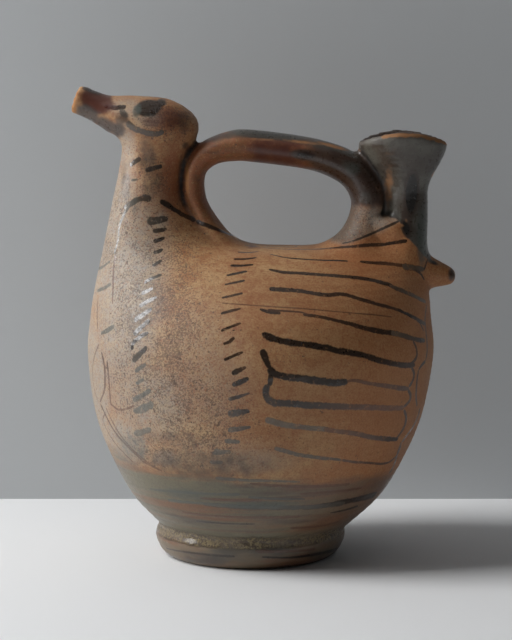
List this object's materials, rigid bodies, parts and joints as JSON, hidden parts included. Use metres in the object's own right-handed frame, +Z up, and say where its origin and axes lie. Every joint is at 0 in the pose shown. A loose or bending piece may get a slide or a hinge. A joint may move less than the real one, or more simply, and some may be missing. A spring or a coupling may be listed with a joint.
{
  "type": "askos",
  "caption": "Duck-shaped clay pouring vessel on a ring foot, filled at a trumpet mouth on its back, carried by a strap handle and poured through the bill.",
  "frame": {"origin": "on the table, under the middle of the bounding box", "axes": "the bird looks along -X, its tail points along +X, its two sides are -Y and +Y, and +Z is up"},
  "size_m": [0.158, 0.1146, 0.1932],
  "materials": {
    "fired_clay": "satin"
  },
  "bodies": {
    "root": {"lower_vessel": "fired_clay", "upper_vessel": "fired_clay"}
  },
  "joints": []
}
